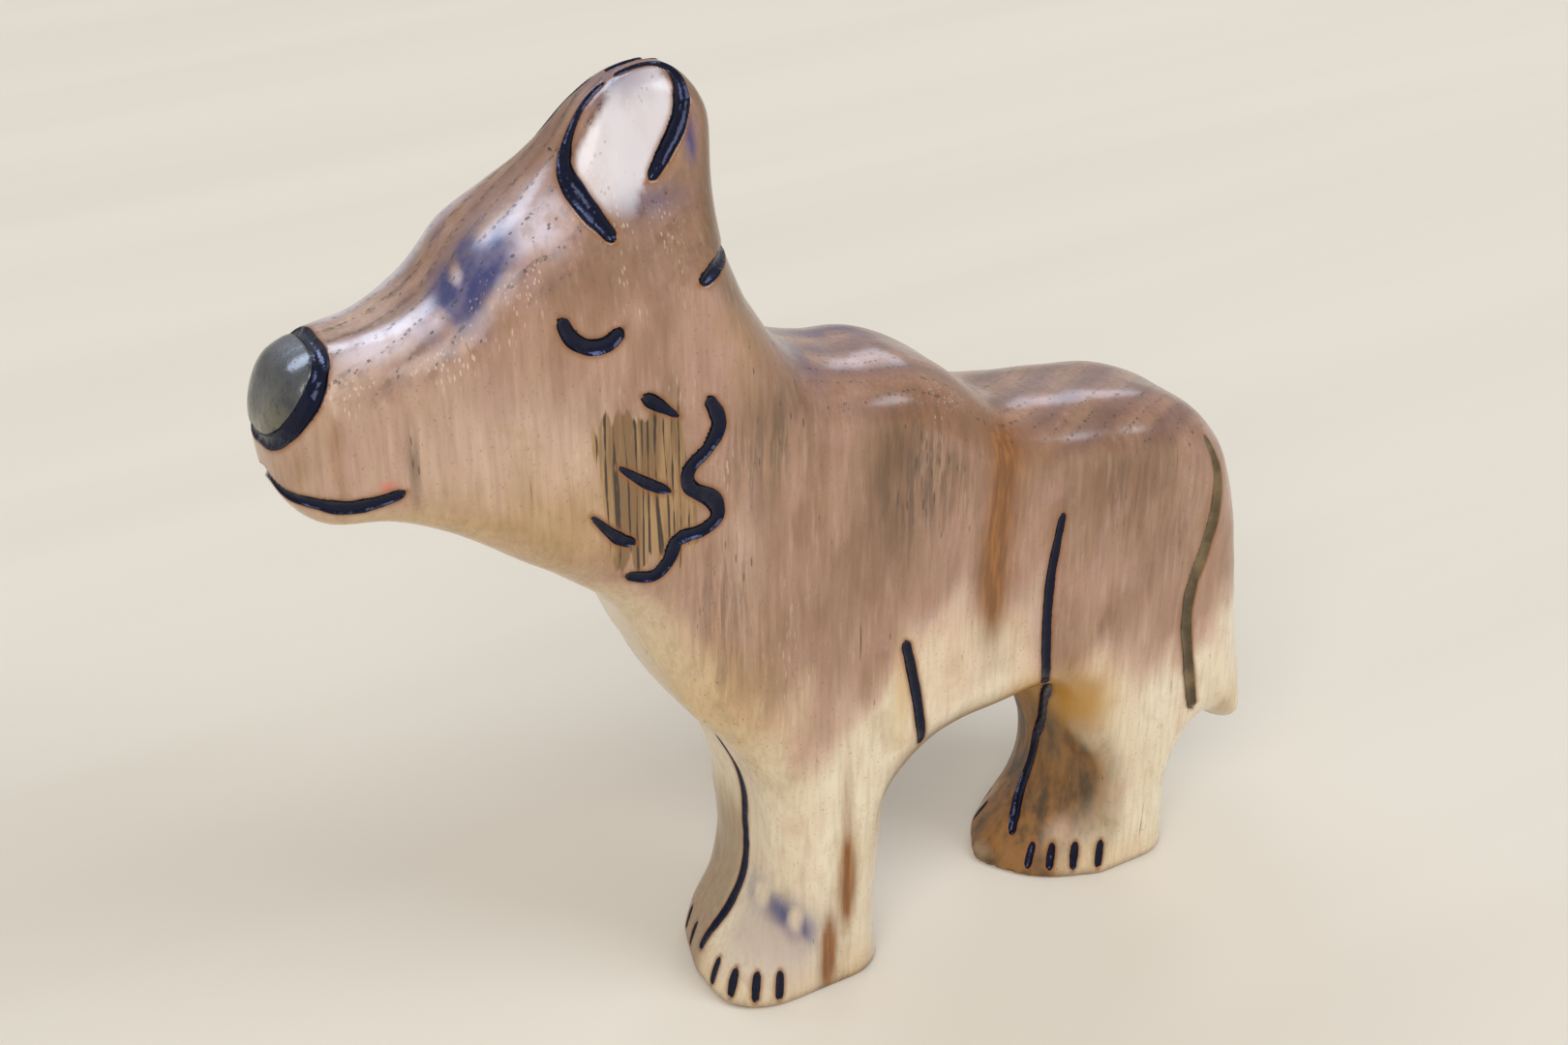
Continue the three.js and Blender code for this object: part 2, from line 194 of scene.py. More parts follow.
def inside_by(x, z):
    u = np.clip((x - GRID_X[0]) / STEP, 0, len(GRID_X) - 1.001)
    v = np.clip((z - GRID_Z[0]) / STEP, 0, len(GRID_Z) - 1.001)
    i, k = u.astype(int), v.astype(int)
    u, v = u - i, v - k
    low = INSIDE[i, k] * (1 - u) + INSIDE[i + 1, k] * u
    high = INSIDE[i, k + 1] * (1 - u) + INSIDE[i + 1, k + 1] * u
    return low * (1 - v) + high * v


def half_thickness(x, z):
    t = mix(MUZZLE_HALF, BOARD_HALF, smooth(x, -76, -38))
    t = t - EAR_TAPER * smooth(z, 118, 152) * smooth(x, -46, -34)
    t = t - EAR_HOLLOW * hill(x, z, -22.5, 139, 6, 9)
    t = t - WAIST_DIP * hill(x, z, 31, 62, 9, 22)
    t = t - THROAT_DIP * hill(x, z, -24, 76, 7, 6)
    return t


def carved(p):
    """About the distance from the carved surface, negative inside the wood. p is in mm."""
    x, y, z = p[:, 0], p[:, 1], p[:, 2]
    edge = 1 - np.clip(z / SOLE_ROUND, 0, 1)
    sole = SOLE_ROUND * (1 - np.sqrt(1 - edge**2))
    t = half_thickness(x, z) - sole
    legs = 1 - smooth(z, 20, 45)
    toes = 1 - smooth(np.where(x < 25, x, x - 56), -6, 6)
    paws = toes * (1 - smooth(z, 6, 18))
    round_in = ROUND_IN - 2.4 * smooth(z, 126, 146) - 1.2 * legs + PAW_ROUND * paws
    round_out = t * mix(0.6, 0.82, smooth(z, 45, 90))
    set_back = np.where(x < 25, PAW_STAGGER * smooth(y, -2, 9), HIND_PAW_POINT * (np.hypot(y, 2) - 2))
    shift = set_back * toes * (1 - smooth(z, 8, 30))
    a = np.maximum(0, round_in - (inside_by(x - shift, z) - sole)) / round_in
    b = np.maximum(0, np.abs(y) - (t - round_out)) / round_out
    an, bn = a**POWER, b**POWER
    total = an + bn
    # the small share keeps the field well below zero in the core, where both terms vanish
    reach = (an * round_in + bn * round_out + CORE_SHARE * round_out) / (total + CORE_SHARE)
    distance = (total ** (1 / POWER) - 1) * reach
    uneven = 0.16 * ripple(p, 3, 26) + 0.05 * ripple(p, 4, 9)
    return distance + uneven * smooth(z, 2, 8)


def slope(field, p):
    h = 0.12
    g = np.empty_like(p)
    for axis in range(3):
        step = np.zeros(3)
        step[axis] = h
        g[:, axis] = (field(p + step) - field(p - step)) / (2 * h)
    return g


def settle(field, p, rounds):
    for _ in range(rounds):
        g = slope(field, p)
        length2 = np.maximum(0.05, (g * g).sum(1))
        p = p - np.clip(field(p) / length2, -1.2, 1.2)[:, None] * g
    return p


def normals_of(field, p):
    g = slope(field, p)
    return g / np.maximum(1e-6, np.linalg.norm(g, axis=1))[:, None]


def surface_nets(field, low, high, pitch):
    """A closed quad mesh of the field's zero surface."""
    low, high = np.asarray(low, float), np.asarray(high, float)
    n = np.ceil((high - low) / pitch).astype(int) + 1
    axes = [low[a] + pitch * np.arange(n[a]) for a in range(3)]
    values = np.empty(n)
    for k in range(n[2]):
        x, y = np.meshgrid(axes[0], axes[1], indexing="ij")
        layer = np.stack([x.ravel(), y.ravel(), np.full(x.size, axes[2][k])], 1)
        values[:, :, k] = field(layer).reshape(n[0], n[1])
    inside = values < 0
    c = [(i, j, k) for k in (0, 1) for j in (0, 1) for i in (0, 1)]
    view = lambda v, o: v[o[0] : n[0] - 1 + o[0], o[1] : n[1] - 1 + o[1], o[2] : n[2] - 1 + o[2]]
    count = sum(view(inside, o).astype(int) for o in c)
    cells = np.argwhere((count > 0) & (count < 8))
    corner = np.stack([values[tuple((cells + o).T)] for o in c], 1)
    total = np.zeros((len(cells), 3))
    hits = np.zeros(len(cells))
    for a in range(8):
        for bit in (1, 2, 4):
            if a & bit:
                continue
            b = a | bit
            va, vb = corner[:, a], corner[:, b]
            cut = (va < 0) != (vb < 0)
            t = np.where(cut, va / np.where(cut, va - vb, 1), 0)[:, None]
            place = np.array(c[a]) * (1 - t) + np.array(c[b]) * t
            total += place * cut[:, None]
            hits += cut
    points = low + (cells + total / hits[:, None]) * pitch
    number = np.full(n, -1)
    number[tuple(cells.T)] = np.arange(len(cells))
    quads = []
    unit = np.eye(3, dtype=int)
    for axis in range(3):
        e, f, g = unit[axis], unit[(axis + 1) % 3], unit[(axis + 2) % 3]
        s0 = inside[1 : n[0] - 1, 1 : n[1] - 1, 1 : n[2] - 1]
        s1 = inside[
            1 + e[0] : n[0] - 1 + e[0], 1 + e[1] : n[1] - 1 + e[1], 1 + e[2] : n[2] - 1 + e[2]
        ]
        at = np.argwhere(s0 != s1) + 1
        out = s0[tuple((at - 1).T)]
        ring = [number[tuple((at - o).T)] for o in (f + g, g, 0 * f, f)]
        quad = np.stack(ring, 1)
        quads.append(np.where(out[:, None], quad, quad[:, ::-1]))
    return points, np.vstack(quads)


def relax(field, points, quads, rounds):
    a = quads.ravel()
    b = np.roll(quads, -1, 1).ravel()
    for _ in range(rounds):
        total = np.zeros_like(points)
        count = np.zeros(len(points))
        for p, q in ((a, b), (b, a)):
            np.add.at(total, p, points[q])
            np.add.at(count, p, 1)
        points = settle(field, mix(points, total / count[:, None], 0.5), 1)
    return settle(field, points, 2)


# ---- the burnt lines: rough places in the profile frame (mm), then half widths ---------------
def on_side(*pairs):
    return [(x, -13.5, z) for x, z in pairs]


PAIRED_LINES = {
    "eye": (on_side((-38.7, 122.9), (-37.4, 119.9), (-34.8, 118.2), (-32.4, 118.3), (-30.6, 119.7)),
            (0.8, 0.95, 1.0, 1.05, 0.85)),
    "cheek_tick_top": (on_side((-28.2, 110), (-25.8, 108), (-23.3, 105.9)), (0.65, 0.85, 0.8, 0.5, 0.25)),
    "cheek_tick_middle": (on_side((-32, 101), (-28, 97.6), (-24.7, 95.4)), (0.25, 0.55, 0.75, 0.65, 0.3)),
    "cheek_tick_bottom": (on_side((-36.2, 95.2), (-32.4, 90.8), (-30, 89.4)), (0.25, 0.55, 0.85, 0.75, 0.45)),
    "cheek_fur": (
        on_side((-19.1, 107.6), (-17.6, 103.6), (-19.2, 100.4), (-22, 98), (-22.1, 95.6),
                (-18.5, 92.4), (-17.9, 89.8), (-20, 88.4), (-24, 88), (-25.2, 85.4),
                (-27.3, 83.6), (-31.5, 84.6)),
        (0.7, 1.1, 1.0, 0.9, 0.95, 1.1, 1.1, 1.0, 0.95, 1.0, 1.0, 0.7)),
    "ear_front": (
        [(-25.6, -1.2, 146.3), (-27.1, -1.3, 145.3), (-29.5, -2.1, 142.2), (-31.2, -3, 139.6),
         (-32.5, -4.4, 137.2), (-32.6, -6, 135.3), (-31.9, -7.9, 132.9), (-29.9, -9.8, 129.6)],
        (0.45, 0.5, 0.55, 0.7, 1.0, 1.25, 1.3, 0.75)),
    "ear_rear": (
        [(-24.4, -1.2, 147), (-22, -1.2, 147.3), (-19.5, -1.3, 147.2), (-17.8, -1.9, 146.6),
         (-17.2, -3.5, 145.4), (-17.5, -4.5, 143.3), (-18.4, -5.1, 140.6), (-19.7, -5.4, 138.6),
         (-21.6, -5.9, 136.4), (-23.4, -6.6, 134.9)],
        (0.5, 0.55, 0.65, 0.8, 0.95, 1.05, 1.1, 1.05, 0.9, 0.55)),
    "elbow": (on_side((12.6, 60), (14.8, 50.4), (16.4, 40.2)), (0.75, 0.8, 0.7)),
    "thigh": (on_side((40.2, 73), (38.8, 61.8), (39, 46), (40.2, 40.6)), (0.6, 0.8, 0.75, 0.65)),
    "tail": (
        [(67.6, -11.6, 77.4), (69.6, -12.4, 72), (69.9, -12.9, 65), (68.8, -13, 58.7),
         (67, -13.4, 52.5), (66.6, -13.4, 46.3), (68, -13, 37), (69.8, -13, 28)],
        (0.6, 0.9, 1.05, 1.1, 1.1, 1.0, 1.0, 0.85)),
}

MIDDLE_LINES = {
    "mouth": (
        [(-58.6, -9, 103.9), (-62.5, -8.4, 102.9), (-66.5, -7.7, 102.7), (-69.3, -6.6, 103.3),
         (-71.4, -4.3, 103.8), (-72.6, 0, 105.2), (-71.4, 4.3, 103.8), (-69.3, 6.6, 103.3),
         (-66.5, 7.7, 102.7), (-62.5, 8.4, 102.9), (-58.6, 9, 103.9)],
        (0.6, 1.0, 1.15, 0.95, 0.8, 0.8, 0.8, 0.95, 1.15, 1.0, 0.6)),
    "nape": (
        [(-19.4, -13.2, 123), (-16.6, -12.2, 124.2), (-13.6, -8, 124.8), (-11.8, 0, 125),
         (-13.6, 8, 124.8), (-16.6, 12.2, 124.2), (-19.4, 13.2, 123)],
        (0.8, 1.1, 0.9, 0.8, 0.9, 1.1, 0.8)),
    "fore_leg": (
        [(-13.4, -0.5, 44.6), (-8.8, -1.4, 36), (-7.2, -0.9, 26.5), (-8, -1.6, 18.4),
         (-11.4, -1, 10.5), (-14.7, 0.2, 4)],
        (0.5, 0.75, 0.8, 0.8, 0.8, 0.6)),
    "hind_leg": (
        [(40.9, -11.6, 41.6), (44, -8, 37.6), (46.2, -5.4, 34.6), (47.4, -3.2, 31.7), (49.2, -0.6, 25),
         (50, 1.2, 20), (48.3, 1, 13.3), (45.6, -1, 7.6), (43.8, -2.5, 4.6)],
        (0.6, 0.8, 0.9, 0.9, 0.95, 1.0, 1.0, 0.9, 0.6)),
}

TOE_BOTTOM = 1.4
TOE_TOP = 6.6
TOES = {
    "fore": [(-15.4, 5.2), (-14, 9), (-11.6, 11.6), (-8.4, 13.1)],
    "hind": [(43, 7.6), (45.8, 9.8), (49.2, 11.8), (53.2, 13.2)],
}

NOSE_TOP = np.array([-65.0, 0, 121.4])
NOSE_FOOT = np.array([-72.9, 0, 110.4])
NOSE_UP = (NOSE_TOP - NOSE_FOOT) / np.linalg.norm(NOSE_TOP - NOSE_FOOT)
NOSE_AHEAD = -np.cross((0, 1, 0), NOSE_UP)
NOSE_MIDDLE = (NOSE_TOP + NOSE_FOOT) / 2


def ahead_of_nose(p):
    return (p - NOSE_MIDDLE) @ NOSE_AHEAD


# the right ear's front line stands this much further out from the crest than the left one
RIGHT_EAR_OUT = 1.4


def mirrored(line, out=0.0):
    return [(x, out - y, z) for x, y, z in line]


def all_lines():
    lines = {}
    for name, (line, widths) in PAIRED_LINES.items():
        lines[name + "_left"] = (line, widths)
        out = RIGHT_EAR_OUT if name == "ear_front" else 0.0
        lines[name + "_right"] = (mirrored(line, out), widths)
    for name, (line, widths) in MIDDLE_LINES.items():
        lines[name + "_line"] = (line, widths)
    for paw, spots in TOES.items():
        for n, (x, y) in enumerate(spots, 1):
            toe = [(x, -y, TOE_BOTTOM), (x + 0.2, -y, (TOE_BOTTOM + TOE_TOP) / 2), (x + 0.4, -y, TOE_TOP)]
            lines[f"{paw}_toe_left_{n}"] = (toe, (0.5, 0.6, 0.45))
            lines[f"{paw}_toe_right_{n}"] = (mirrored(toe), (0.5, 0.6, 0.45))
    turn = np.linspace(0, 2 * math.pi, 25)
    spoke = -np.cos(turn)[:, None] * NOSE_UP + np.sin(turn)[:, None] * (0, 1, 0)
    inner, outer = np.full(len(turn), 3.0), np.full(len(turn), 14.0)
    for _ in range(18):
        middle = (inner + outer) / 2
        inside = carved(NOSE_MIDDLE + middle[:, None] * spoke) < 0
        inner, outer = np.where(inside, middle, inner), np.where(inside, outer, middle)
    ring = NOSE_MIDDLE + inner[:, None] * spoke
    widths = 0.85 + 0.25 * np.abs(np.sin(turn))
    lines["nose_ring"] = ([tuple(p) for p in ring], tuple(widths))
    return lines


def trace(line, widths, seed):
    """Positions on the carved surface every TRACE_STEP along a line, with frames and half widths."""
    rough = catmull(line, 24)
    spread = np.interp(np.linspace(0, len(widths) - 1, len(rough)), np.arange(len(widths)), widths)
    p = settle(carved, rough, 8)
    along = np.concatenate([[0], np.cumsum(np.linalg.norm(np.diff(p, axis=0), axis=1))])
    steps = np.linspace(0, along[-1], max(12, int(along[-1] / TRACE_STEP)))
    p = np.stack([np.interp(steps, along, p[:, a]) for a in range(3)], 1)
    w = np.interp(steps, along, spread)
    for _ in range(16):
        p[1:-1] = (p[:-2] + 2 * p[1:-1] + p[2:]) / 4
    p = settle(carved, p, 3)
    normal = normals_of(carved, p)
    tangent = np.gradient(p, axis=0)
    tangent /= np.linalg.norm(tangent, axis=1)[:, None]
    side = np.cross(tangent, normal)
    side /= np.linalg.norm(side, axis=1)[:, None]
    knots = np.arange(0, steps[-1] + 2, WOBBLE_STEP)
    wobble = np.interp(steps, knots, np.random.default_rng(seed).normal(0, 0.05, len(knots)))
    return {"p": p, "normal": normal, "tangent": tangent, "side": side, "w": w * (1 + wobble), "s": steps}


def round_ends(path):
    """Narrows the line to rounded ends."""
    w = path["w"]
    left = np.minimum(1, path["s"] / 1.0)
    right = np.minimum(1, (path["s"][-1] - path["s"]) / 1.0)
    cap = np.sqrt(np.clip(1 - (1 - left) ** 2, 0, 1)) * np.sqrt(np.clip(1 - (1 - right) ** 2, 0, 1))
    path["w"] = np.maximum(0.06, w * cap)
    return path


# ---- meshes ----------------------------------------------------------------------------------
def to_object(name, points, faces, material):
    """A smooth-shaded object from points in the profile frame (mm)."""
    mesh = bpy.data.meshes.new(name)
    placed = (np.asarray(points) - (OUTLINE_X, 0, 0)) * MM
    mesh.from_pydata(placed.tolist(), [], [list(map(int, f)) for f in faces])
    mesh.polygons.foreach_set("use_smooth", [True] * len(mesh.polygons))
    mesh.materials.append(material)
    obj = bpy.data.objects.new(name, mesh)
    bpy.context.scene.collection.objects.link(obj)
    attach(obj, "root")
    return obj


def line_piece(name, path, material, loop=False):
    """The lacquered char of one burnt line: a trough with a closed underside, lying in its groove."""
    across = np.array([-1, -0.93, -0.82, -0.62, -0.34, 0, 0.34, 0.62, 0.82, 0.93, 1])
    under = np.array([0.5, 0.0, -0.5])
    rings = []
    for p, nrm, side, w in zip(path["p"], path["normal"], path["side"], path["w"]):
        half = w + 0.07
        depth = LACQUER_SINK * min(1.0, w)
        top = -0.04 - depth * np.clip(1 - (across / 0.95) ** 2, 0, 1) ** 0.7
        low = -depth - 0.3 * min(1.0, w)
        ring = [p + side * (half * u) + nrm * h for u, h in zip(across, top)]
        ring += [p + side * (half * u) + nrm * low for u in under]
        rings.append(ring)
    n, m = len(rings), len(rings[0])
    points = np.array(rings).reshape(-1, 3)
    faces = []
    for i in range(n if loop else n - 1):
        j = (i + 1) % n
        for k in range(m):
            q = (k + 1) % m
            faces.append((i * m + k, i * m + q, j * m + q, j * m + k))
    if not loop:
        faces.append(tuple(range(m))[::-1])
        faces.append(tuple((n - 1) * m + k for k in range(m)))
    obj = to_object(name, points, faces, material)
    bm = bmesh.new()
    bm.from_mesh(obj.data)
    bmesh.ops.recalc_face_normals(bm, faces=bm.faces)
    bm.to_mesh(obj.data)
    bm.free()
    return obj


print("tracing lines")
paths = {}
for seed, (name, (line, widths)) in enumerate(all_lines().items()):
    path = trace(line, widths, 100 + seed)
    paths[name] = path if name == "nose_ring" else round_ends(path)

samples = np.vstack([path["p"] for path in paths.values()])
tangents = np.vstack([path["tangent"] for path in paths.values()])
half_widths = np.concatenate([path["w"] for path in paths.values()])
tree = KDTree(len(samples))
for i, p in enumerate(samples):
    tree.insert(p, i)
tree.balance()


def from_lines(points, reach=6.0):
    """Distance from the nearest burnt line's middle, its half width there, and the way out of it."""
    gap = np.full(len(points), reach)
    width = np.ones(len(points))
    out = np.zeros((len(points), 3))
    for i, p in enumerate(points):
        _, index, dist = tree.find(p)
        if dist < reach:
            v = p - samples[index]
            v = v - np.clip(v @ tangents[index], -0.1, 0.1) * tangents[index]
            gap[i] = np.linalg.norm(v)
            width[i] = half_widths[index]
            out[i] = v / max(1e-6, gap[i])
    return gap, width, out


def groove(field, points, snap):
    """Presses the burnt grooves into the points of a surface, after sliding the points nearest to
    each groove's rim onto it. Gives the pressed points, the unpressed ones, and their line data."""
    gap, width, out = from_lines(points)
    to_rim = width + RIM - gap
    near = np.abs(to_rim) < snap
    points = points + out * np.where(near, to_rim, 0)[:, None]
    points = settle(field, points, 1)
    gap, width, out = from_lines(points)
    rim = width + RIM
    share = np.clip(gap / rim, 0, 1)
    press = (LACQUER_SINK * np.minimum(1, width) + GROOVE_EXTRA) * (1 - share**4)
    press *= smooth(points[:, 2], 0.2, 0.9)
    return points - normals_of(carved, points) * press[:, None], points, gap, width


def body_field(p):
    return np.maximum(np.maximum(carved(p), ahead_of_nose(p) + 0.25), -p[:, 2])


def nose_field(p):
    return np.maximum(carved(p) - 0.03, 0.03 - ahead_of_nose(p))


print("body mesh")
points, quads = surface_nets(body_field, (-76, -17, -3), (88, 17, 152), PITCH)
points = relax(body_field, points, quads, 3)

# Finer faces beside the burnt lines.
mesh = bpy.data.meshes.new("wood_body_fine")
mesh.from_pydata(points.tolist(), [], quads.tolist())
bm = bmesh.new()
bm.from_mesh(mesh)
bm.verts.ensure_lookup_table()
gap, width, _ = from_lines(points)
near = gap < width + 1.4
edges = [e for e in bm.edges if near[e.verts[0].index] and near[e.verts[1].index]]
bmesh.ops.subdivide_edges(bm, edges=edges, cuts=2, use_grid_fill=True)
bm.to_mesh(mesh)
bm.free()
points = np.array([v.co for v in mesh.vertices])
faces = [tuple(f.vertices) for f in mesh.polygons]
bpy.data.meshes.remove(mesh)

points = settle(body_field, points, 1)
points, smooth_points, gap, width = groove(body_field, points, 0.15)
normal = normals_of(carved, smooth_points)
points[points[:, 2] < 0.02, 2] = 0
print("body faces", len(faces))


# ---- colour zones of the wood, 0..1 at each point (profile frame, mm) --------------------------
def window(v, a, b, soft):
    return smooth(v, a - soft, a + soft) * (1 - smooth(v, b - soft, b + soft))


def put(obj, name, values):
    attribute = obj.data.attributes.new(name, "FLOAT", "POINT")
    attribute.data.foreach_set("value", np.clip(values, 0, 1).astype(np.float32))


def wood_zones(obj, p, nrm, gap, width):
    x, y, z = p.T
    side = smooth(np.abs(nrm[:, 1]), 0.25, 0.65)
    up = smooth(nrm[:, 2], 0.1, 0.7)
    under = smooth(-nrm[:, 2], 0.25, 0.85)
    front = smooth(-nrm[:, 0], 0.15, 0.75)
    rear = smooth(nrm[:, 0], 0.1, 0.7)
    near = smooth(-y, 1, 7)  # the animal's left half
    ragged = 3 * ripple(p * (1, 1, 0.25), 21, 7, 7) + 2.5 * ripple(p, 22, 34)
    # the brown wash: head, neck, back and flanks, running out above the legs and at the chest
    edge = np.interp(x, (-30, 0, 10, 18, 26, 34, 42, 62, 70, 80), (50, 50, 56, 64, 63, 58, 44, 42, 46, 48))
    wash = smooth(z + ragged, edge - 12, edge + 8)
    chest = smooth(x + 0.5 * (z - 60) + 0.5 * ragged, -25, -9)
    head = smooth(z - 0.25 * x, 84, 94)
    wash = wash * mix(chest, 1, head) * (1 - 0.7 * front * (1 - head)) * (1 - 0.5 * under)
    wash = wash * (1 - 0.35 * smooth(-x, 44, 58)) * (1 - 0.5 * hill(x, z, -41, 104, 13, 9))
    put(obj, "wash", wash)
    pale = 0.9 * window(x + 0.12 * (z - 55), 12.5, 26, 2.5) * window(z + ragged, 42, 64, 6)
    pale += 0.7 * window(x, 31.5, 38.5, 1.5) * window(z + ragged, 43, 63, 6)
    pale += 0.5 * hill(x, z, -48, 108, 9, 7) + 0.5 * hill(x, z, -14, 82, 3, 10)
    put(obj, "pale", pale * side)
    # a golden tone on the jaw, chest, belly edge and nape
    honey = 0.9 * hill(x, z, -20, 56, 12, 15) + 0.7 * under * smooth(z, 30, 40)
    honey += 1.2 * hill(x, z, -50, 93, 22, 7) + 0.5 * hill(x, z, -13, 118, 4, 10)
    honey += 0.5 * (1 - smooth(z, 1, 9)) + 0.5 * smooth(x, 70, 78) * (1 - smooth(z, 24, 34))
    honey += 0.6 * smooth(y, -3, 1.5) * front * (x < 10) * (1 - smooth(z, 22, 36))
    put(obj, "honey", honey)
    # darker: painted shade on the rear faces of the ears and neck and on the belly's downward edge, a browner
    # right half of the fore leg's front, and real smoky patches on the neck, flank and hip
    smoke_and_shade = 0.9 * rear * smooth(z, 108, 122) + 0.5 * hill(x, z, -21, 130, 7, 4)
    smoke_and_shade += 0.75 * smooth(y, -3, 1.5) * front * (x < 10) * (1 - smooth(z, 22, 36))
    # painted shade under the belly's edge, on its downward faces
    smoke_and_shade += 0.6 * smooth(-nrm[:, 2], 0.0, 0.4) * window(z, 30, 43, 3) * (x > 10)
    smoky = 0.6 * hill(x, z, -8, 104, 6, 6) + hill(x, z, 10, 92, 5, 8) + 0.5 * hill(x, z, 9, 80, 4, 7)
    smoky += 0.6 * hill(x, z, 50, 78, 8, 9) + 0.35 * hill(x, z, -2, 70, 9, 12)
    smoky += 0.3 * hill(x, z, 58, 62, 8, 10) + 0.3 * hill(x, z, -30, 126, 7, 4)
    smoke_and_shade += smoky * side
    put(obj, "smoke_and_shade", smoke_and_shade)
    # brown along the saddle's edge and on the crown, and a painted highlight: a pale sheen painted on the
    # upward faces of the muzzle and brow
    umber = window(nrm[:, 2], 0.12, 0.8, 0.12) * window(x, 9, 37, 5) * smooth(-y, 0, 5)
    crown = hill(x, y, -51, 3.5, 4, 3) + hill(x, y, -44, 2, 3, 4) + 0.9 * hill(x, y, -35, 0, 4, 3.5)
    crown = 0.8 * crown * up * smooth(ripple(p, 34, 5), -1.0, 0.6)
    put(obj, "umber", umber + crown + 0.7 * hill(x, z, -12, 108, 3.5, 6) * rear)
    put(obj, "top", up * smooth(z, 70, 84))
    put(obj, "back", up * smooth(x, -14, 2))
    # painted highlight: a pale lavender sheen on the upward faces of the muzzle's shoulders and the brow
    painted_sheen = window(x, -64, -36, 4) * window(np.abs(y) - 0.12 * (x + 64), 3.0, 7.2, 1.2) * up
    put(obj, "painted_sheen", painted_sheen + 0.6 * up * hill(x, y, -40, -6, 5, 4))
    put(obj, "rows", up * smooth(z, 70, 84) * (1 - 0.8 * smooth(x, -25, -5)))
    # a violet tint on the upward faces of the brow and withers, partly a real stain and partly a painted cool
    # sheen; a painted cool sheen on the ears, along their rims and beside their rear lines; and a real violet
    # smudge on the instep
    uneven = smooth(ripple(p, 33, 6), -0.9, 0.5)
    violet_stain_and_sheen = 2.1 * hill(x, y, -47, -6.8, 4.5, 4.2) + 0.3 * hill(x, y, -48, 5, 6, 4)
    violet_stain_and_sheen += 0.8 * hill(x, y, -2, -2, 5, 7) + 0.7 * hill(x, y, 12, 4, 9, 4)
    violet_stain_and_sheen = violet_stain_and_sheen * up * smooth(z, 90, 100) * uneven
    # painted cool sheen on the ears' rims, beside their rear lines and on their sides
    violet_stain_and_sheen += 0.6 * hill(x, z, -27, 147.5, 7, 2.5)
    violet_stain_and_sheen += 0.9 * np.exp(-(((x + 17.2) / 0.9) ** 2)) * window(z, 137, 147, 2)
    violet_stain_and_sheen += 0.45 * hill(x, z, -24, 133.5, 5, 1.6) * side
    smudge = 1.1 * hill(x + 0.5 * (z - 15), z, -5.5, 15, 2.6, 4.5) * near
    smudge = smudge * smooth(ripple(p, 31, 5), -1.2, 0.1)
    put(obj, "violet_stain_and_sheen", violet_stain_and_sheen + smudge)
    # weathered patches where the pores lie open in long upright streaks
    patch = window(x + 0.12 * (z - 96), -34.4, -22, 1.6) * window(z, 85.5, 107, 3.5)
    streak = 0.9 * hill(x, z, -9, 99, 7, 7) + 0.9 * hill(x, z, 12, 88, 6, 11)
    streak += 0.6 * hill(x, z, 19, 84, 8, 12) + 0.6 * hill(x, z, 52, 74, 6, 11)
    streak += 0.75 * hill(x, z, -17, 76, 5, 16) + 0.4 * hill(x, z, 64, 66, 4, 18)
    streak += 1.1 * hill(x, z, -57.8, 107.5, 0.8, 5)
    put(obj, "streak", streak * side)
    put(obj, "patch", patch * side)
    fleck = window(nrm[:, 2], 0.12, 0.6, 0.14) * window(x, -66, -22, 4) * smooth(z, 98, 110)
    fleck += (hill(x, z, -35, 104, 3.2, 7) + hill(x, z, -27, 109.5, 6, 2.5)) * side
    fleck += (hill(x, z, -16, 96, 3, 9) + 0.9 * hill(x, z, 20, 95, 6, 6)) * side
    fleck += 0.5 * hill(x, z, -8, 60, 8, 16) * side
    put(obj, "fleck", fleck)
    put(obj, "ash", 0.8 * hill(x, z, -8, 10, 7, 8) * near)
    # a rusty band down the flank, faint rust lines on the muzzle, short flames on the fore leg
    band = (x - 29.0 - 0.03 * (z - 75) + 0.1 * ragged) / 2.9
    rust = 1.25 * np.exp(-(band**2)) * window(z, 55, 92, 9)
    flames = 1.9 * hill(x, z, 3.2, 20, 1.3, 8) + 2.0 * hill(x, z, 0, 7, 1.25, 7)
    rust += (flames + 0.5 * hill(x, z, 3, 36, 1, 8)) * near
    rust += 0.5 * np.exp(-(((x + 66.6 - 0.01 * (z - 108) ** 2) / 0.55) ** 2)) * window(z, 103, 114, 2)
    rust += 0.4 * np.exp(-(((x + 70.6) / 0.4) ** 2)) * window(z, 105.5, 109.5, 1)
    put(obj, "rust", rust * side)
    put(obj, "red", 0.7 * hill(x, z, -61, 104.6, 0.9, 0.8) * near)
    # flame-darkened fronts of the hind legs, glowing orange above, and the feet's rims
    burn = smooth(-nrm[:, 0] + 0.04 * ragged, 0.05, 0.7) * smooth(x, 36, 42) * (1 - smooth(z, 36, 46))
    burn = 1.35 * burn * mix(0.25, 1, smooth(y + 0.5 * ragged, -14, -4))
    burn += 0.5 * (1 - smooth(z, 0.4, 2.2)) + 0.4 * hill(x, z, 6, 0, 7, 3)
    put(obj, "burn", burn)
    glow = 1.5 * hill(x, z, 45, 35, 7, 7) + 0.7 * hill(x, z, 37, 42.5, 5, 3)
    put(obj, "glow", glow + 0.6 * hill(x, z, 12.5, 52, 1.6, 9) * side)
    # the pale inside of the ears, between the two ear lines
    rear_z, rear_x = (131, 135.4, 137.4, 140.8, 143.8, 147), (-27, -24.4, -22.2, -19.4, -18.3, -18.8)
    front_z, front_x = (129.4, 133.6, 137, 139.8, 142.4, 145), (-29.6, -31.6, -32.6, -31.4, -29.2, -26.4)
    inner = smooth(np.interp(z, rear_z, rear_x) - x, -0.4, 0.4)
    inner = inner * smooth(x - np.interp(z, front_z, front_x), -0.4, 0.4)
    inner = inner * smooth(z + 0.3 * ragged, 131.5, 135)
    put(obj, "ear", inner * smooth(np.abs(y), 1.5, 3))
    put(obj, "scorch", np.exp(-((np.maximum(0, gap - width - RIM) / 0.42) ** 2)))
    put(obj, "groove", np.where(gap < width + RIM - 0.02, 1, 0))


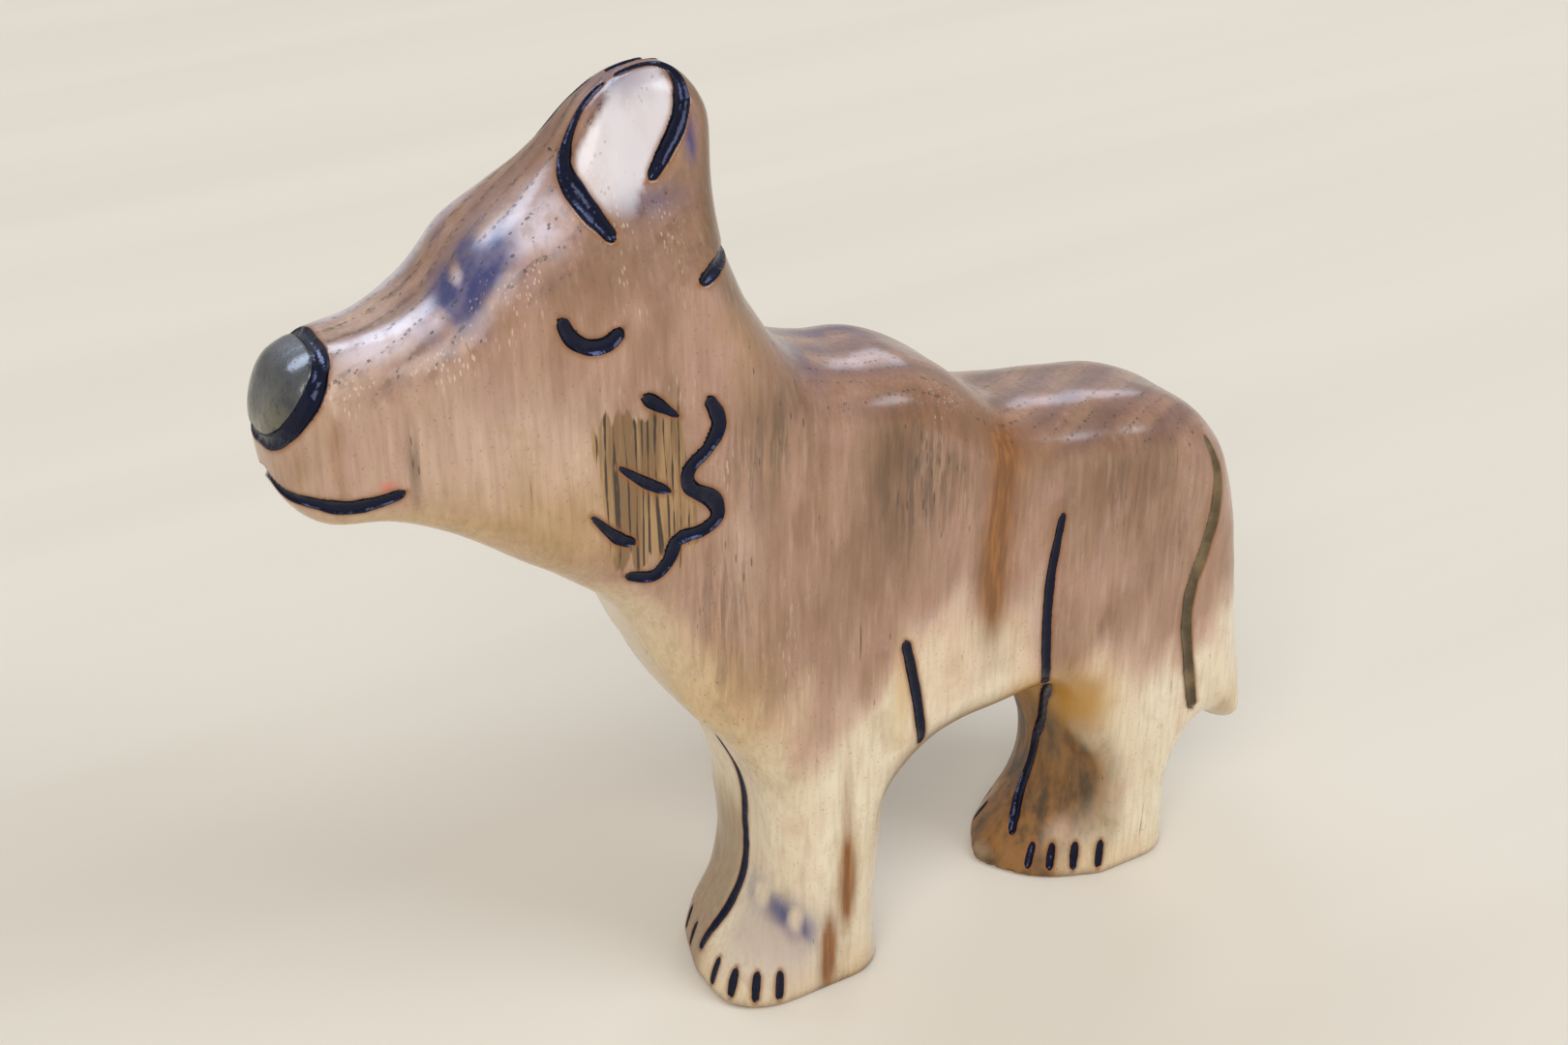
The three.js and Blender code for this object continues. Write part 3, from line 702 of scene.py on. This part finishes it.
# ---- materials -----------------------------------------------------------------------------------
class Shader:
    """A material's node tree, with short ways to add nodes."""

    def __init__(self, name):
        self.material = bpy.data.materials.new(name)
        self.material.use_nodes = True
        self.tree = self.material.node_tree
        self.tree.nodes.clear()
        self.place = self.node("ShaderNodeTexCoord").outputs["Object"]

    def node(self, kind, **settings):
        node = self.tree.nodes.new(kind)
        for key, value in settings.items():
            setattr(node, key, value)
        return node

    def set(self, socket, value):
        if isinstance(value, bpy.types.NodeSocket):
            self.tree.links.new(value, socket)
        elif isinstance(value, tuple) and len(value) == 3 and socket.type == "RGBA":
            socket.default_value = (*value, 1)
        else:
            socket.default_value = value

    def attribute(self, name):
        return self.node("ShaderNodeAttribute", attribute_name=name).outputs["Fac"]

    def math(self, operation, *values):
        node = self.node("ShaderNodeMath", operation=operation)
        for socket, value in zip(node.inputs, values):
            self.set(socket, value)
        return node.outputs[0]

    def stretch(self, x, y, z, turn=(0, 0, 0)):
        node = self.node("ShaderNodeMapping")
        self.set(node.inputs["Vector"], self.place)
        node.inputs["Scale"].default_value = (x, y, z)
        node.inputs["Rotation"].default_value = turn
        return node.outputs[0]

    def noise(self, vector, detail=4.0, roughness=0.5, distortion=0.0):
        node = self.node("ShaderNodeTexNoise")
        self.set(node.inputs["Vector"], vector)
        node.inputs["Scale"].default_value = 1.0
        node.inputs["Detail"].default_value = detail
        node.inputs["Roughness"].default_value = roughness
        node.inputs["Distortion"].default_value = distortion
        return node.outputs["Fac"]

    def cells(self, vector):
        node = self.node("ShaderNodeTexVoronoi")
        self.set(node.inputs["Vector"], vector)
        node.inputs["Scale"].default_value = 1.0
        return node.outputs

    def span(self, value, a, b, low=0.0, high=1.0):
        node = self.node("ShaderNodeMapRange", interpolation_type="SMOOTHSTEP")
        for socket, number in zip(node.inputs, (value, a, b, low, high)):
            self.set(socket, number)
        return node.outputs[0]

    def blend(self, amount, a, b, mode="MIX"):
        node = self.node("ShaderNodeMix", data_type="RGBA", blend_type=mode)
        self.set(node.inputs[0], amount)
        self.set(node.inputs[6], a)
        self.set(node.inputs[7], b)
        return node.outputs[2]

    def bump(self, height, distance, normal=None):
        node = self.node("ShaderNodeBump")
        node.inputs["Strength"].default_value = 1.0
        node.inputs["Distance"].default_value = distance
        self.set(node.inputs["Height"], height)
        if normal is not None:
            self.set(node.inputs["Normal"], normal)
        return node.outputs[0]

    def finish(self, **values):
        bsdf = self.node("ShaderNodeBsdfPrincipled")
        for key, value in values.items():
            self.set(bsdf.inputs[key.replace("_", " ")], value)
        out = self.node("ShaderNodeOutputMaterial")
        self.set(out.inputs[0], bsdf.outputs[0])
        return self.material


def wood_material():
    s = Shader("carved_wood")
    top, streak, patch = s.attribute("top"), s.attribute("streak"), s.attribute("patch")
    fibre = s.noise(s.stretch(1400, 1200, 130), 4, 0.55)
    broad = s.noise(s.stretch(210, 210, 75), 3, 0.55)
    cloud = s.noise(s.stretch(60, 70, 34), 3, 0.5)
    blotch = s.noise(s.stretch(150, 150, 110), 3, 0.55, 0.6)
    speck = s.noise(s.stretch(2600, 2600, 2000), 2, 0.5)
    # growth rings: sheets across the board's thickness, warped and slightly slanted
    warp = s.noise(s.stretch(16, 30, 12), 2, 0.5)
    split = s.node("ShaderNodeSeparateXYZ")
    s.set(split.inputs[0], s.place)
    turn = s.math("MULTIPLY", s.math("MAXIMUM", s.math("SUBTRACT", split.outputs["X"], 0.022), 0.0), -0.36)
    slant = s.math("MULTIPLY_ADD", split.outputs["X"], -0.16, s.math("ADD", split.outputs["Y"], turn))
    depth = s.math("MULTIPLY_ADD", warp, 0.016, slant)
    broad_ring = s.math("FRACT", s.math("MULTIPLY", depth, 150))
    late = s.math("MULTIPLY", s.span(broad_ring, 0.1, 0.55), s.span(broad_ring, 1.0, 0.65))
    fine_ring = s.math("FRACT", s.math("MULTIPLY", depth, 430))
    line = s.math("MULTIPLY", s.span(fine_ring, 0.3, 0.7), s.span(fine_ring, 1.0, 0.85))
    row = s.math("MULTIPLY", s.span(fine_ring, 0.62, 0.7), s.span(fine_ring, 0.92, 0.84))
    # pores: fine tubes along the grain, in rows on the upper faces and open streaks on the sides
    cell = s.cells(s.stretch(1350, 1900, 190))
    seldom = s.span(s.noise(s.stretch(420, 300, 90), 2, 0.5), 0.55, 0.75, 0.0, 0.12)
    open_pores = s.math("MULTIPLY_ADD", streak, 0.18, s.math("MULTIPLY", row, s.math("MULTIPLY", top, 0.32)))
    size = s.math("ADD", seldom, open_pores)
    pore = s.span(cell["Distance"], s.math("ADD", size, 0.06), s.math("SUBTRACT", size, 0.04))
    pore = s.math("MULTIPLY", pore, s.span(fibre, 0.32, 0.5, 0.3, 1))
    pore = s.math("MULTIPLY", pore, s.span(s.attribute("ear"), 0, 1, 1, 0.35))
    fleck_cell = s.cells(s.stretch(2100, 2100, 330, (0.06, 0.04, 0)))
    fleck = s.span(fleck_cell["Distance"], 0.33, 0.16)
    fleck = s.math("MULTIPLY", s.math("MULTIPLY", fleck, s.attribute("fleck")), s.span(broad, 0.42, 0.6))

    cream = s.blend(s.span(cloud, 0.3, 0.7), (0.77, 0.675, 0.495), (0.69, 0.57, 0.395))
    pink = s.blend(s.span(broad, 0.35, 0.65), (0.50, 0.325, 0.225), (0.59, 0.42, 0.295))
    brown = s.blend(s.span(broad, 0.3, 0.7), (0.35, 0.185, 0.095), (0.49, 0.285, 0.17))
    brown = s.blend(s.span(cloud, 0.4, 0.7, 0, 0.7), brown, (0.50, 0.29, 0.185))
    smoke = s.noise(s.stretch(95, 95, 42), 3, 0.55)
    brown = s.blend(s.span(smoke, 0.5, 0.68, 0, 0.6), brown, (0.27, 0.15, 0.075))
    lane = s.noise(s.stretch(480, 400, 42), 3, 0.6)
    wash = s.math("MULTIPLY_ADD", s.math("SUBTRACT", lane, 0.5), 0.5, s.attribute("wash"))
    colour = s.blend(s.span(wash, 0, 0.5), cream, pink)
    colour = s.blend(s.span(wash, 0.4, 1.0), colour, brown)
    pale = s.math("MULTIPLY", s.attribute("pale"), s.span(lane, 0.3, 0.6, 0.5, 0.9))
    colour = s.blend(pale, colour, (0.70, 0.52, 0.36))
    colour = s.blend(s.math("MULTIPLY", s.attribute("honey"), 0.7), colour, (0.60, 0.39, 0.15))
    colour = s.blend(s.span(blotch, 0.50, 0.76, 0, 0.4), colour, (0.56, 0.34, 0.25))
    colour = s.blend(s.span(blotch, 0.50, 0.24, 0, 0.42), colour, (0.40, 0.27, 0.12))
    colour = s.blend(s.span(wash, 0.3, 1.0), colour, (0.86, 0.87, 0.99), "MULTIPLY")
    # partly real smoke and burn, partly painted shade on the rear faces of the ears and neck and on the
    # belly's downward edge
    colour = s.blend(s.math("MULTIPLY", s.attribute("smoke_and_shade"), 0.9), colour, (0.155, 0.08, 0.034))
    colour = s.blend(s.span(fibre, 0.4, 0.75, 0, 0.22), colour, (0.40, 0.27, 0.19), "MULTIPLY")
    colour = s.blend(s.span(fibre, 0.42, 0.28, 0, 0.09), colour, (0.80, 0.66, 0.50))
    colour = s.blend(s.span(speck, 0.63, 0.72, 0, 0.35), colour, (0.14, 0.09, 0.06))
    colour = s.blend(s.math("MULTIPLY", s.attribute("back"), 0.45), colour, (0.80, 0.68, 0.64), "MULTIPLY")
    banding = s.math("MULTIPLY_ADD", top, 0.36, s.math("MULTIPLY", s.attribute("back"), 0.16))
    colour = s.blend(s.math("MULTIPLY", late, banding), colour, (0.13, 0.065, 0.062))
    dash = s.span(s.noise(s.stretch(620, 900, 620), 2, 0.5), 0.46, 0.56, 0.25, 1)
    dashes = s.math("MULTIPLY", s.math("MULTIPLY", line, dash), s.math("MULTIPLY", s.attribute("rows"), 0.6))
    colour = s.blend(dashes, colour, (0.12, 0.06, 0.035))
    umber = s.math("MULTIPLY", s.attribute("umber"), s.span(blotch, 0.3, 0.6, 0.5, 0.95))
    colour = s.blend(umber, colour, (0.24, 0.11, 0.05))
    # painted highlight on the muzzle and brow: the base colour is lightened toward pale lavender
    painted_sheen = s.math("MULTIPLY", s.attribute("painted_sheen"), s.span(lane, 0.3, 0.6, 0.35, 0.75))
    colour = s.blend(painted_sheen, colour, (0.70, 0.62, 0.68))
    colour = s.blend(s.attribute("ash"), colour, (0.46, 0.375, 0.33))
    rusty = s.blend(s.span(fibre, 0.35, 0.6), (0.30, 0.115, 0.022), (0.19, 0.07, 0.014))
    colour = s.blend(s.attribute("rust"), colour, rusty)
    lanes = s.math("MULTIPLY", streak, s.span(s.noise(s.stretch(900, 500, 75), 3, 0.65), 0.44, 0.6))
    colour = s.blend(s.math("MULTIPLY", lanes, 0.62), colour, (0.085, 0.055, 0.03))
    sway = s.noise(s.stretch(260, 60, 22), 2, 0.5)
    stripe = s.math("FRACT", s.math("MULTIPLY_ADD", split.outputs["X"], 900, s.math("MULTIPLY", sway, 3.0)))
    thin = s.noise(s.stretch(500, 200, 95), 3, 0.6)
    from_middle = s.math("ABSOLUTE", s.math("SUBTRACT", stripe, 0.5))
    slit = s.span(s.span(from_middle, s.span(thin, 0.36, 0.62, 0.02, 0.27), 0.0), 0.1, 0.5)
    weathered = s.blend(s.span(lane, 0.4, 0.6), (0.38, 0.23, 0.10), (0.20, 0.11, 0.042))
    weathered = s.blend(slit, weathered, (0.016, 0.009, 0.004))
    edge = s.noise(s.stretch(700, 300, 60), 2, 0.5)
    patch = s.span(s.math("MULTIPLY_ADD", s.math("SUBTRACT", edge, 0.5), 2.0, patch), 0.42, 0.56)
    colour = s.blend(s.math("MULTIPLY", patch, 0.92), colour, weathered)
    flame = s.span(s.noise(s.stretch(240, 240, 80), 3, 0.6), 0.35, 0.65)
    burnt = s.blend(flame, (0.035, 0.015, 0.005), (0.24, 0.10, 0.018))
    colour = s.blend(s.math("MULTIPLY", s.attribute("burn"), 0.9), colour, burnt)
    colour = s.blend(s.math("MULTIPLY", s.attribute("glow"), 0.85), colour, (0.52, 0.27, 0.05))
    colour = s.blend(s.attribute("red"), colour, (0.62, 0.12, 0.09))
    ear_skin = s.blend(s.span(broad, 0.4, 0.7), (0.66, 0.61, 0.62), (0.60, 0.52, 0.51))
    colour = s.blend(s.attribute("ear"), colour, ear_skin)
    # violet stain mixed with a painted cool sheen on the upward faces and the ears' rims
    violet_stain_and_sheen = s.math("MULTIPLY", s.attribute("violet_stain_and_sheen"), s.span(broad, 0.3, 0.6, 0.75, 1.0))
    colour = s.blend(violet_stain_and_sheen, colour, (0.04, 0.045, 0.15))
    colour = s.blend(s.math("MULTIPLY", pore, 0.7), colour, (0.07, 0.04, 0.03))
    colour = s.blend(s.math("MULTIPLY", fleck, 0.5), colour, (0.78, 0.66, 0.52))
    colour = s.blend(s.math("MULTIPLY", s.attribute("scorch"), 0.8), colour, (0.24, 0.09, 0.02))
    colour = s.blend(s.attribute("groove"), colour, (0.012, 0.009, 0.01))

    height = s.math("MULTIPLY_ADD", pore, -0.6, s.math("MULTIPLY", fibre, 0.3))
    height = s.math("MULTIPLY_ADD", s.math("MULTIPLY", slit, patch), -0.8, height)
    return s.finish(
        Base_Color=colour, Roughness=s.span(fibre, 0.3, 0.7, 0.42, 0.54), Normal=s.bump(height, 0.00011),
        Specular_IOR_Level=0.1, Coat_Weight=s.span(s.attribute("burn"), 0.2, 0.9, 0.9, 0.25),
        Coat_Roughness=0.2, Coat_IOR=1.5,
        Coat_Normal=s.bump(height, 0.00004),
    )


def line_material(name, deep, raised, tint):
    """Glossy lacquer over char, wrinkled in places, with a tinted sheen."""
    s = Shader(name)
    wrinkle = s.noise(s.stretch(700, 700, 700), 2, 0.5)
    broad = s.noise(s.stretch(260, 260, 260), 2, 0.5)
    colour = s.blend(s.span(broad, 0.35, 0.7), deep, raised)
    return s.finish(
        Base_Color=colour, Roughness=s.span(wrinkle, 0.3, 0.7, 0.14, 0.3), Specular_IOR_Level=0.42,
        Specular_Tint=tint, Coat_Weight=0.1, Coat_Roughness=0.08, Normal=s.bump(wrinkle, 0.0002),
        Coat_Normal=s.bump(wrinkle, 0.00012),
    )


def nose_material():
    s = Shader("charred_nose")
    cloud = s.noise(s.stretch(190, 190, 190), 4, 0.6)
    grain = s.noise(s.stretch(1200, 900, 900), 4, 0.6)
    split = s.node("ShaderNodeSeparateXYZ")
    s.set(split.inputs[0], s.place)
    low = s.math("MULTIPLY_ADD", split.outputs["Z"], -90, s.math("MULTIPLY_ADD", cloud, 1.6, 9.7))
    colour = s.blend(s.span(cloud, 0.35, 0.65), (0.014, 0.017, 0.021), (0.06, 0.062, 0.062))
    colour = s.blend(s.span(low, 0.0, 0.7, 0, 0.8), colour, (0.13, 0.12, 0.045))
    colour = s.blend(s.span(grain, 0.5, 0.7, 0, 0.6), colour, (0.012, 0.012, 0.014))
    return s.finish(
        Base_Color=colour, Roughness=s.span(grain, 0.3, 0.7, 0.3, 0.45), Coat_Weight=0.8,
        Coat_Roughness=0.16, Coat_IOR=1.5, Normal=s.bump(grain, 0.0001),
        Coat_Normal=s.bump(grain, 0.00004),
    )


def floor_material():
    s = Shader("table")
    grain = s.noise(s.stretch(1.2, 22, 1), 3, 0.5)
    colour = s.blend(s.span(grain, 0.3, 0.7), (0.70, 0.645, 0.55), (0.725, 0.67, 0.575))
    return s.finish(Base_Color=colour, Roughness=0.7, Specular_IOR_Level=0.15)


# ---- the pieces ------------------------------------------------------------------------------------
BLUE_SHEEN = (0.42, 0.5, 1.0, 1)
WARM_SHEEN = (1.0, 0.95, 0.85, 1)
wood = wood_material()
char = line_material("burnt_line", (0.0012, 0.0015, 0.005), (0.003, 0.003, 0.010), BLUE_SHEEN)
faint_char = line_material("faint_burnt_line", (0.075, 0.052, 0.026), (0.18, 0.125, 0.06), WARM_SHEEN)
body = to_object("wood_body_surface", points, faces, wood)
wood_zones(body, smooth_points, normal, gap, width)
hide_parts("wood_body")

nose_points, nose_quads = surface_nets(nose_field, (-78, -11, 104), (-61, 11, 126), NOSE_PITCH)
nose_points = relax(nose_field, nose_points, nose_quads, 4)
nose_points = groove(nose_field, nose_points, 0.18)[0]
nose = to_object("nose_pad_surface", nose_points, nose_quads, nose_material())
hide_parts("nose_pad")

for name, path in paths.items():
    loop = name == "nose_ring"
    if loop:
        path = {key: value[:-1] for key, value in path.items()}
    lacquer = faint_char if name.startswith("tail") else char
    piece = line_piece(name + "_char", path, lacquer, loop)
    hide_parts(name)


# ---- table, light and camera ---------------------------------------------------------------------
bpy.ops.mesh.primitive_plane_add(size=6, location=(0, 0, 0))
table = bpy.context.object
table.name = "table"
table.data.materials.append(floor_material())
table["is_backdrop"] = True


def area_light(name, place, size, energy, colour, sheen_only=False):
    data = bpy.data.lights.new(name, "AREA")
    data.shape = "RECTANGLE"
    data.size, data.size_y = size
    data.energy = energy
    data.color = colour
    lamp = bpy.data.objects.new(name, data)
    lamp.location = place
    lamp.rotation_euler = (Vector((0, 0, 0.07)) - Vector(place)).to_track_quat("-Z", "Y").to_euler()
    lamp.visible_diffuse = not sheen_only
    bpy.context.scene.collection.objects.link(lamp)


area_light("key", (-3.6, -3.9, 4.3), (3.8, 3.8), 212, (1.0, 0.962, 0.925))
area_light("window", (-0.8, 3.9, 5.2), (4.2, 2.4), 45, (0.72, 0.83, 1.0))
area_light("window_sheen", (-0.8, 3.95, 5.2), (4.2, 2.4), 215, (0.64, 0.77, 1.0), sheen_only=True)
area_light("front_window", (3.2, -3.4, 4.4), (2.9, 2.9), 185, (0.82, 0.89, 1.0))
area_light("side_window", (4.3, 3.6, 3.2), (1.9, 1.9), 40, (0.7, 0.81, 1.0))

world = bpy.data.worlds.new("room")
world.use_nodes = True
world.node_tree.nodes["Background"].inputs["Color"].default_value = (1.0, 0.972, 0.94, 1)
world.node_tree.nodes["Background"].inputs["Strength"].default_value = 0.5
bpy.context.scene.world = world
bpy.context.scene.view_settings.view_transform = "Standard"

CAMERA_PLACE = (-0.14351, -0.23039, 0.23171)
TOWARDS_CAMERA = Vector((-0.44603, -0.74231, 0.5))

camera = bpy.data.objects.new("camera", bpy.data.cameras.new("camera"))
camera.location = CAMERA_PLACE
camera.rotation_euler = (-TOWARDS_CAMERA).to_track_quat("-Z", "Y").to_euler()
camera.data.lens = 50
camera.data.sensor_width = 36
camera.data.sensor_fit = "HORIZONTAL"
bpy.context.scene.collection.objects.link(camera)
bpy.context.scene.camera = camera

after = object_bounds()


def plain(value):
    if isinstance(value, dict):
        return {key: plain(item) for key, item in value.items()}
    if isinstance(value, (int, float)):
        return float(value)
    return [plain(item) for item in value]


{"cad": plain(cad_bounds), "visual": plain(after)}
